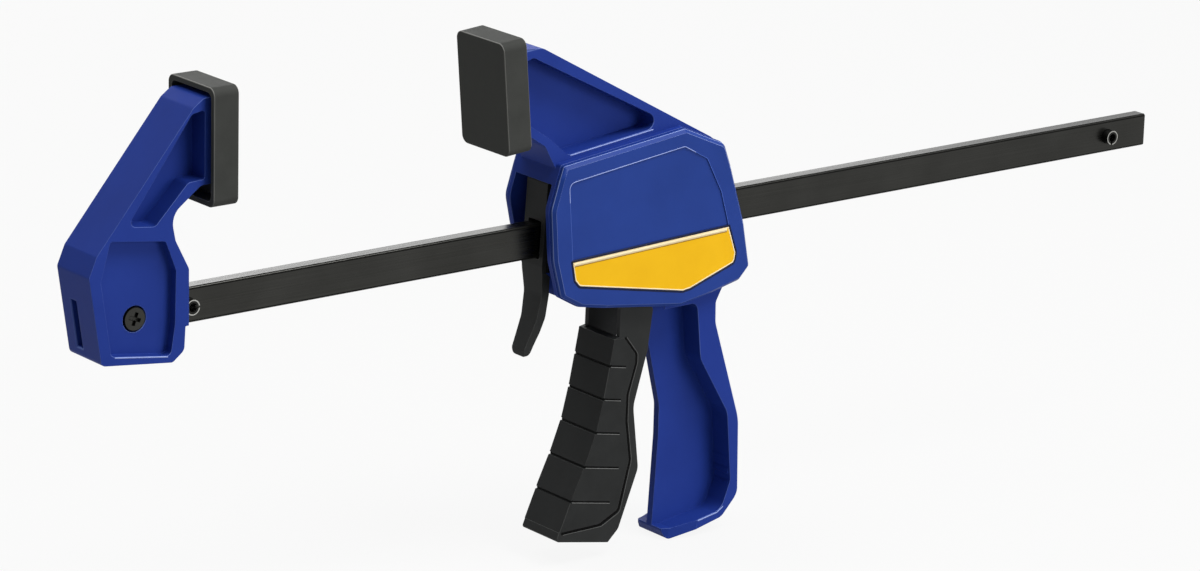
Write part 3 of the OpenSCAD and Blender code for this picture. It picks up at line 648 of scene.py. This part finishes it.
def groove_lines(skins, tree):
    """The painted shade and the painted highlight on the lip of each groove, where it runs on along the
    grip's sides.
    """
    high, low = TRIGGER_FRONT[0][1], TRIGGER_FRONT[-1][1]
    above, spare = 2.4, 3.6            # mm that the row starts above the front, and is longer than it
    runs = []
    for i, run in enumerate(GROOVE_RUNS, 1):
        z = high + above - i * (high - low + spare) / (len(GROOVE_RUNS) + 1)
        u = trigger_front_at(z)
        runs.append([Vector((u + r, z - r * math.tan(GROOVE_FALL))) for r in (GROOVE_START, run)])
    # name, finish, mm above the groove's middle, width, height above the face
    for name, skin, up, width, proud in (
        ("grip_groove_shades", "recess", 0.2, 0.6, 0.02),
        ("grip_groove_lip_highlights", "lip", -0.3, 0.24, 0.03),
    ):
        paths = [[point + Vector((0, up)) for point in run] for run in runs]
        line_on_side(
            name, "trigger", skins[skin], tree, paths, GRIP_FACE, width, proud
        )


def edge_highlight_lines(skins, tree):
    """Lines of painted highlight along the upper edges of the blue mouldings' ledges."""
    width = 0.42
    for name, body, face, corners in (
        ("arm_pocket_highlight", "moving_jaw", ARM_FACE, [(32, 31.9), (52, 34.25), (69.5, 36.3)]),
        ("handle_foot_highlight", "moving_jaw", HANDLE_FACE, [(95.5, -116.9), (104.6, -115.3), (107.4, -113.4)]),
        ("jaw_panel_highlight", "bar_assembly", ARM_FACE, [(-138, -14.3), (-148.5, -12.75), (-159.2, -11.2)]),
    ):
        path = [Vector(corner) for corner in corners]
        line_on_side(name, body, skins["highlight_blue"], tree, [path], face, width)


def handle_ribs(skins):
    """Shallow ribs across the back of the handle."""
    radius, proud, half_length = 2.4, 0.45, 10.2
    path = [on_jaw(u - radius + proud, z, 0) for u, z in HANDLE_BACK]
    piece = grown(
        "handle_back_ribs", rib_tree(), path_mesh("handle_back_ribs", [path]),
        Ribs=5, Half=(0, half_length * MM, 0), Radius=radius * MM, Finish=skins["blue"],
    )
    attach(piece, "moving_jaw")


def springs(skins):
    """The two springs round the bar. In the clamp they shorten as their plates are pushed; these coils keep
    their rest length.
    """
    tree = coil_tree()
    wire = 0.9 * MM
    for node, turns, joint, travel in (
        ("drive_spring", 7, "drive_advance", 9.7 * MM),
        ("brake_spring", 3, "release_pull", 3.1 * MM),
    ):
        low, high = (Vector(corner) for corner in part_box(node))
        piece = grown(
            node + "_coil", tree, bpy.data.meshes.new(node + "_coil"),
            Turns=float(turns), Start=low.x + wire / 2, End=high.x - wire / 2,
            Height=(low.z + high.z) / 2, Radius=(high.z - low.z - wire) / 2, Wire=wire / 2,
            Finish=skins["spring"],
        )
        piece.data.shade_smooth()
        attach(piece, "moving_jaw")
        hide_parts(node)
        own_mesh(piece)


# ---- pieces made from the frame's own solids ----

DOUBLES = 0.004 * MM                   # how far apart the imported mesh's doubled points may lie
FLAT_TURN = math.radians(0.4)          # faces that turn less than this lie on one flat side
BORDER_TURN = math.radians(0.1)        # an edge that turns more than this ends a flat side
CORNER_DEGREES = 27                    # an edge that turns more than this is a corner
SLIGHT_DEGREES = 2                     # and so is one that turns more than this between wide sides
WIDE_SIDE = 2.6 * MM
SHORT_EDGE = 0.1 * MM
NO_LIMIT = 1.0                         # metres, which is more than any piece measures
NO_LOSS = 0.001                        # an edge that loses less than this when it moves keeps its length
FACING = -0.2                          # two borders face each other below this
ACROSS_SHARE = 0.36                    # of the room across a side that one corner's easing may take
ALONG_SHARE = 0.7                      # and of the room that a tight curve leaves along it
WIDER_THAN_LEAST = 1.2                 # how much wider an easing may be than the least beside it
LEAST_BAND = 0.03 * MM
BAND_SPARE = 1.12                      # how much wider a band is than the easing on it
THIN_BAND = 0.01 * MM                  # as a band is first drawn, to find which way its corners go
LONGEST_MITRE = 1.8                    # how far a band's corner may stretch
CLOSE_IN_MM = 0.0001                   # for delaunay_2d_cdt: points nearer than this are one
INSIDE_ONLY = 1                        # and the kind of result, triangles within the outline


def flat_sided_copy(node_name):
    """A node's mesh with its doubles merged and its flat sides made whole again."""
    bm = bmesh.new()
    bm.from_mesh(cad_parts[node_name].data)
    bmesh.ops.remove_doubles(bm, verts=bm.verts, dist=DOUBLES)
    bmesh.ops.dissolve_limit(
        bm, angle_limit=FLAT_TURN, verts=bm.verts, edges=bm.edges, use_dissolve_boundaries=False
    )
    bmesh.ops.recalc_face_normals(bm, faces=bm.faces)
    return bm


def is_border(edge):
    """True where a flat side ends."""
    return edge.calc_face_angle(math.pi) > BORDER_TURN


def is_corner(edge):
    """True where two sides meet at a corner: a sharp one, or a slight one between two wide sides.
    A slight one beside a narrow facet belongs to a curved wall."""
    if len(edge.link_faces) != 2:
        return False
    turn = math.degrees(edge.calc_face_angle())
    if turn > CORNER_DEGREES:
        return True
    length = edge.calc_length()
    narrowest = min(face.calc_area() for face in edge.link_faces) / max(length, SHORT_EDGE)
    return turn > SLIGHT_DEGREES and narrowest > WIDE_SIDE


def flat_sides(bm):
    """The faces gathered into flat sides: a side with a hole in it is more than one face."""
    sides = []
    seen = set()
    for start in bm.faces:
        if start in seen:
            continue
        side = [start]
        seen.add(start)
        for face in side:
            for edge in face.edges:
                if is_border(edge):
                    continue
                for other in edge.link_faces:
                    if other not in seen:
                        seen.add(other)
                        side.append(other)
        sides.append(side)
    return sides


def borders_of(side):
    """The side's border edges, each with the direction across the side."""
    borders = {}
    for face in side:
        for loop in face.loops:
            if is_border(loop.edge):
                along = (loop.link_loop_next.vert.co - loop.vert.co).normalized()
                borders[loop.edge] = face.normal.cross(along)
    return borders


def room_across(edge, borders):
    """The clear distance from an edge across its flat side to a border that faces it."""
    inwards = borders[edge]
    start, end = edge.verts[0].co, edge.verts[1].co
    best = NO_LIMIT
    for other, facing in borders.items():
        if facing.dot(inwards) > FACING or set(other.verts) & set(edge.verts):
            continue
        near, far = other.verts[0].co, other.verts[1].co
        across = near + far - start - end
        if across.dot(inwards) <= 0 or across.dot(facing) >= 0:
            continue
        for point, low, high in (
            (near, start, end), (far, start, end), (start, near, far), (end, near, far)
        ):
            share = (point - low).dot(high - low) / (high - low).length_squared
            foot = low.lerp(high, max(0, min(1, share)))
            best = min(best, (point - foot).length)
    return best


def room_along(edge, borders):
    """How far an edge can move across its side before its own length is used up, as it is on the
    inside of a tight curve."""
    lost = 0
    for vert in edge.verts:
        away = (vert.co - edge.other_vert(vert).co).normalized()
        for other in vert.link_edges:
            if other is not edge and other in borders:
                lost += (borders[other] - borders[edge]).dot(-away) / (1 + borders[other].dot(borders[edge]))
    return edge.calc_length() / lost if lost > NO_LOSS else NO_LIMIT


def ends(edge):
    """An edge's two places, by which it's found again after the mesh has changed."""
    return frozenset(place(vert) for vert in edge.verts)


def place(vert):
    """A vertex's place as whole numbers, which can be looked up."""
    return tuple(round(c / ONE_PLACE) for c in vert.co)


def corner_widths(bm, sides, outer, inner):
    """How far each corner may be eased, by whether it points out and by the room beside it."""
    widths = {}
    for borders in sides:
        for edge in borders:
            if is_corner(edge):
                wanted = (outer if edge.is_convex else inner) * MM
                across = ACROSS_SHARE * room_across(edge, borders)
                along = ALONG_SHARE * room_along(edge, borders)
                room = min(across, along)
                widths[edge] = min(widths.get(edge, wanted), room)
    for borders in sides:
        own = [edge for edge in borders if edge in widths]
        for edge in own:
            for vert in edge.verts:
                least = min(widths[e] for e in vert.link_edges if e in borders and e in widths)
                widths[edge] = min(widths[edge], WIDER_THAN_LEAST * least)
    return {ends(edge): width for edge, width in widths.items()}


def band_along(bm, side, widths):
    """A band of faces along the borders of a side with holes, as wide at each place as the easing
    needs, so that the easing runs square to the borders."""
    reach = {}
    for edge in borders_of(side):
        for vert in edge.verts:
            reach[place(vert)] = max(reach.get(place(vert), LEAST_BAND), widths.get(ends(edge), 0))
    band = bmesh.ops.inset_region(
        bm, faces=side, thickness=THIN_BAND, use_even_offset=True, use_boundary=True
    )["faces"]
    moved = set()
    for face in band:
        for edge in face.edges:
            outside = [vert for vert in edge.verts if place(vert) in reach]
            inside = [vert for vert in edge.verts if place(vert) not in reach]
            if len(outside) == 1 and inside[0] not in moved:
                moved.add(inside[0])
                step = (inside[0].co - outside[0].co) / THIN_BAND
                step *= min(1, LONGEST_MITRE / step.length)
                inside[0].co = outside[0].co + step * BAND_SPARE * reach[place(outside[0])]


def eased_corners(bm, outer, inner):
    """Writes each corner's easing as a bevel weight, after banding the sides with holes."""
    weights = bm.edges.layers.float.new("bevel_weight_edge")
    sides = flat_sides(bm)
    widths = corner_widths(bm, [borders_of(side) for side in sides], outer, inner)
    for side in sides:
        if len(side) > 1:
            band_along(bm, side, widths)
    widest = max(outer, inner) * MM
    for edge in bm.edges:
        edge[weights] = widths.get(ends(edge), 0) / widest
    return widest


def redraw_wide_faces(bm):
    """Gives each face of many corners a sound net of triangles, also where the easing has tied a
    small knot in its outline."""
    for face in [face for face in bm.faces if len(face.verts) > 4]:
        level = face.normal.rotation_difference(Vector((0, 0, 1))).to_matrix() * (1 / MM)
        corners = list(face.verts)
        flat = [level @ vert.co for vert in corners]
        height = sum(point.z for point in flat) / len(flat)
        places, _, triangles, origins, _, _ = delaunay_2d_cdt(
            [point.xy for point in flat], [], [list(range(len(flat)))], INSIDE_ONLY, CLOSE_IN_MM
        )
        back = level.inverted()
        verts = [
            corners[origin[0]] if origin else bm.verts.new(back @ Vector((place.x, place.y, height)))
            for place, origin in zip(places, origins)
        ]
        for triangle in triangles:
            new = [verts[i] for i in triangle]
            if not bm.faces.get(new):
                bm.faces.new(new, face)
        bm.faces.remove(face)
    bmesh.ops.delete(bm, geom=[edge for edge in bm.edges if not edge.link_faces], context="EDGES")


def mark_eased_faces(bm):
    """Writes which faces round an outward corner, for the painted highlight on moulded edges and the painted
    shade on steel edges.
    """
    mark = bm.faces.layers.float.new(EDGE_MARK)
    for face in bm.faces:
        outwards = sum(edge.calc_face_angle_signed(0) * edge.calc_length() for edge in face.edges)
        if face.material_index == 1 and outwards > 0:
            face[mark] = 1
        face.material_index = 0


def eased(node_name, piece_name, outer, inner, slide):
    """A copy of a node with its corners rounded by outer and its inward corners by inner, in mm."""
    bm = flat_sided_copy(node_name)
    widest = eased_corners(bm, outer, inner)
    mesh = bpy.data.meshes.new(piece_name)
    bm.to_mesh(mesh)
    bm.free()
    piece = link(bpy.data.objects.new(piece_name, mesh))
    mesh.shade_smooth()
    mesh.materials.append(None)
    mesh.materials.append(None)
    bevel = piece.modifiers.new("eased", "BEVEL")
    bevel.limit_method = "WEIGHT"
    bevel.width = widest
    bevel.segments = 3
    bevel.use_clamp_overlap = False
    bevel.loop_slide = slide
    bevel.face_strength_mode = "FSTR_ALL"
    bevel.material = 1
    frozen(piece)
    bm = bmesh.new()
    bm.from_mesh(piece.data)
    redraw_wide_faces(bm)
    mark_eased_faces(bm)
    bm.to_mesh(piece.data)
    bm.free()
    normals = piece.modifiers.new("flat_sides", "WEIGHTED_NORMAL")
    normals.keep_sharp = False
    normals.use_face_influence = True
    return frozen(piece)


def coat(piece, material):
    """Gives a piece or a node its one material."""
    piece.data.materials.clear()
    piece.data.materials.append(material)


def make_eased_pieces(skins):
    """The nodes whose corners are rounded on a copy, which takes the node's place."""
    # node, new piece, body, slot, material, outward and inward rounding in mm
    for node_name, piece_name, body, slot, skin, outer, inner in (
        ("bar", "flat_bar", "bar_assembly", "black_steel", "bar", 0.5, 0.2),
        ("fixed_jaw", "fixed_jaw_moulding", "bar_assembly", "blue_nylon", "blue", 1.5, 0.5),
        ("fixed_pad", "fixed_pad_cap", "bar_assembly", "pad_rubber", "pad", 0.8, 0.4),
        ("fixed_jaw_screw", "jaw_screw", "bar_assembly", "black_screw", "screw", 0.3, 0.1),
        ("jaw_frame", "moving_jaw_moulding", "moving_jaw", "blue_nylon", "blue", 1.2, 0.5),
        ("moving_pad", "moving_pad_cap", "moving_jaw", "pad_rubber", "pad", 0.8, 0.4),
        ("cover_near", "near_cover_plate", "moving_jaw", "blue_cover", "blue_cover", 0.35, 0.15),
        ("cover_far", "far_cover_plate", "moving_jaw", "blue_cover", "blue_cover", 0.35, 0.15),
        ("trigger_core", "trigger_channel", "trigger", "black_nylon", "black", 0.5, 0.3),
        ("trigger_grip", "trigger_soft_grip", "trigger", "grip_rubber", "grip", 0.45, 0.2),
        ("release_lever", "release_lever_moulding", "brake", "black_nylon", "black", 0.6, 0.3),
    ):
        piece = eased(node_name, piece_name, outer, inner, slot == "blue_cover")
        coat(piece, skins[skin])
        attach(piece, body)
        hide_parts(node_name)


def coat_plain_nodes(skins):
    """The nodes that are shown as they are, each in its own material."""
    for node_name, skin in (
        ("stop_pin_front", "pin_front"), ("stop_pin_rear", "pin_rear"), ("fixed_jaw_nut", "zinc"),
        ("trigger_pin", "zinc"), ("drive_plate_front", "plate"), ("drive_plate_rear", "plate"),
        ("brake_plate", "plate"), ("label_near", "yellow"), ("label_far", "yellow"),
    ):
        coat(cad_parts[node_name], skins[skin])


# ---- floor, backdrop and lights ----

PAPER_GLOW = 0.9                       # how much of the paper's look is even white, and not its light
FLOOR_REACH = 6.0
FLOOR_GAP = 0.0004                     # below the clamp, so that the two don't touch
WORLD_FILL = 0.2
LAMPS_AIM = (0.17, 0, -0.03)           # the middle of the clamp


def seen_rays(tree):
    """1 for a ray by which the camera sees the stage, straight or in a shine, and 0 for its light."""
    paths = add(tree, "ShaderNodeLightPath").outputs
    seen = add(tree, "ShaderNodeMath", {
        0: paths["Is Camera Ray"], 1: paths["Is Glossy Ray"],
    }, operation="MAXIMUM")
    seen = add(tree, "ShaderNodeMath", {
        0: seen.outputs[0], 1: paths["Is Transmission Ray"],
    }, operation="MAXIMUM")
    return seen.outputs[0]


def white_stage_material():
    """Matt white paper, which the camera sees near white and which still takes a soft shadow."""
    made, tree = new_material("white_paper_stage")
    paper = add(tree, "ShaderNodeBsdfPrincipled", {"Base Color": linear("#ABABA9"), "Roughness": 0.9})
    glow = add(tree, "ShaderNodeEmission", {"Color": (1, 1, 1, 1), "Strength": 1.0})
    share = add(tree, "ShaderNodeMath", {0: seen_rays(tree), 1: PAPER_GLOW}, operation="MULTIPLY")
    mixed = add(tree, "ShaderNodeMixShader", {
        0: share.outputs[0], 1: paper.outputs["BSDF"], 2: glow.outputs["Emission"],
    })
    add(tree, "ShaderNodeOutputMaterial", {"Surface": mixed.outputs[0]})
    return made


def make_stage():
    """A plain floor just below the clamp."""
    height = Vector(cad_box[0]).z - FLOOR_GAP
    corners = [(-1, -1), (1, -1), (1, 1), (-1, 1)]
    bm = bmesh.new()
    bm.faces.new([bm.verts.new((x * FLOOR_REACH, y * FLOOR_REACH, height)) for x, y in corners])
    mesh = bpy.data.meshes.new("floor")
    bm.to_mesh(mesh)
    bm.free()
    floor = link(bpy.data.objects.new("floor", mesh))
    floor.data.materials.append(white_stage_material())


def make_world():
    """White all round for the camera, and a faint even fill for the lighting."""
    world = bpy.data.worlds.new("studio")
    world.use_nodes = True
    tree = world.node_tree
    tree.nodes.clear()
    fill = add(tree, "ShaderNodeBackground", {"Color": (1, 1, 1, 1), "Strength": WORLD_FILL})
    white = add(tree, "ShaderNodeBackground", {"Color": (1, 1, 1, 1), "Strength": 1.0})
    mixed = add(tree, "ShaderNodeMixShader", {
        0: seen_rays(tree), 1: fill.outputs[0], 2: white.outputs[0],
    })
    add(tree, "ShaderNodeOutputWorld", {"Surface": mixed.outputs[0]})
    bpy.context.scene.world = world


def make_lights():
    """Soft boxes, all aimed at the clamp's middle."""
    # name, place, width, height, watts
    for name, place, width, height, watts in (
        ("key_high_front", (0.67, -0.81, 1.73), 1.2, 0.9, 38),
        ("front_right", (0.87, -1.8, 0.27), 1.0, 0.8, 15),
        ("top_left", (-0.48, 0.37, 1.82), 1.2, 0.8, 18),
        ("low_back", (1.45, 1.88, 0.72), 0.9, 0.4, 2.6),    # draws the pale band on the bar's top
        ("behind", (0.6, 2.0, 0.55), 1.2, 0.9, 9),          # lights the side that the photo hides
    ):
        data = bpy.data.lights.new(name, "AREA")
        data.shape = "RECTANGLE"
        data.size = width
        data.size_y = height
        data.energy = watts
        lamp = link(bpy.data.objects.new(name, data))
        lamp.location = place
        lamp.rotation_euler = (Vector(LAMPS_AIM) - Vector(place)).to_track_quat("-Z", "Y").to_euler()


make_camera()
materials = make_materials()
make_eased_pieces(materials)
coat_plain_nodes(materials)
strips = strip_tree()
label_lines(materials, strips)
field_lines(materials, strips)
grip_lines(materials, strips)
groove_lines(materials, strips)
edge_highlight_lines(materials, strips)
handle_ribs(materials)
springs(materials)
make_stage()
make_world()
make_lights()
bpy.context.scene.view_settings.view_transform = "Standard"
